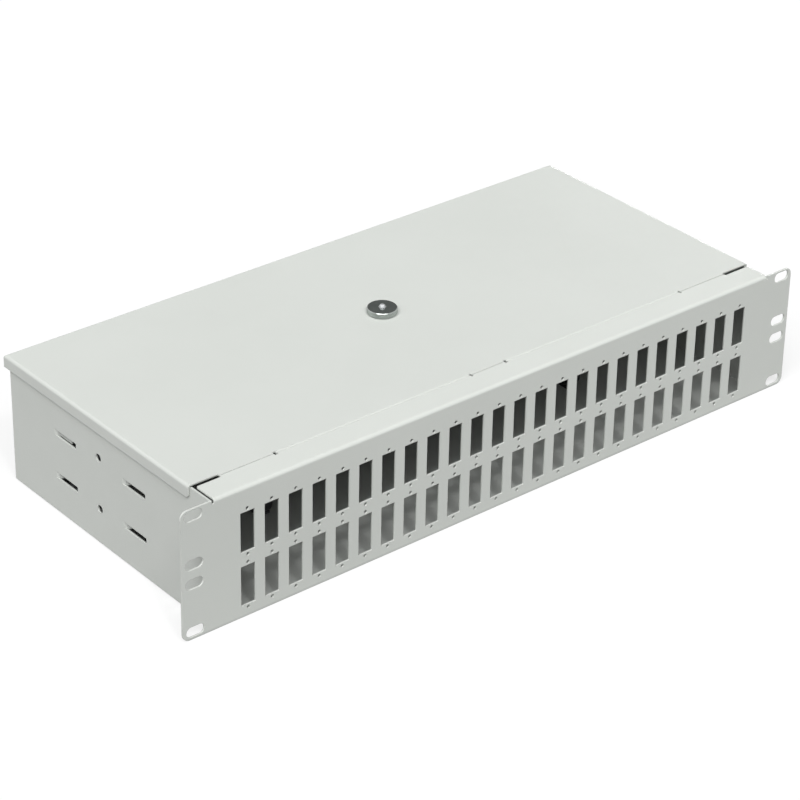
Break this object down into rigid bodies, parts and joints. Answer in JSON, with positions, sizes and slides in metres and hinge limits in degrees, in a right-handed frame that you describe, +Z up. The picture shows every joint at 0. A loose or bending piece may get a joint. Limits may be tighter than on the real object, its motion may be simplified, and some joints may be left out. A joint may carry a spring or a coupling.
{
  "type": "fibre patch panel",
  "caption": "Low, wide rack-mounted box of folded sheet steel with rows of rectangular adapter ports across its front and a hooked lid held by a knurled nut, for optical fibres.",
  "frame": {"origin": "middle of the footprint, at the level of the floor's underside", "axes": "+X to the right along the panel seen from the front, +Y from the panel to the rear, +Z up"},
  "size_m": [0.4826, 0.21, 0.0917],
  "materials": {
    "painted_sheet": "light grey powder coat, fine texture, satin",
    "zinc_steel": "bright zinc",
    "nickel": "polished nickel, knurled rim",
    "tray_plastic": "moulded, fine grain",
    "comb_rubber": "matt",
    "black_nylon": "moulded, satin",
    "bush_rubber": "matt"
  },
  "bodies": {
    "housing": {"front_panel": "painted_sheet", "chassis_tray": "painted_sheet", "lid_stud": "zinc_steel", "tray_washer": "zinc_steel", "tray_nut": "zinc_steel", "anchor_studs": "zinc_steel", "anchor_nuts": "zinc_steel", "cable_anchor_left": "zinc_steel", "cable_anchor_right": "zinc_steel", "earth_stud": "zinc_steel", "earth_washer": "zinc_steel", "earth_nut": "zinc_steel", "splice_tray_lower": "tray_plastic", "splice_tray_upper": "tray_plastic", "splice_tray_cover": "tray_plastic", "splice_comb_lower": "comb_rubber", "splice_comb_upper": "comb_rubber", "fibre_guide_1": "black_nylon", "fibre_guide_2": "black_nylon", "fibre_guide_3": "black_nylon", "fibre_guide_4": "black_nylon", "tray_spacer": "black_nylon", "tray_posts": "black_nylon", "cable_grommet_1": "bush_rubber", "cable_grommet_2": "bush_rubber", "cable_grommet_3": "bush_rubber", "cable_grommet_4": "bush_rubber"},
    "lid": {"lid": "painted_sheet"},
    "nut": {"thumb_nut": "nickel"}
  },
  "joints": [
    {"name": "lid_hinge", "type": "hinge", "parent": "housing", "child": "lid", "pos_m": [0, -0.0864, 0.086], "axis": [1, 0, 0], "range_deg": [0, 60]},
    {"name": "nut_turn", "type": "hinge", "parent": "lid", "child": "nut", "pos_m": [-0.0076, 0.0072, 0.086], "axis": [0, 0, 1], "continuous": true}
  ]
}
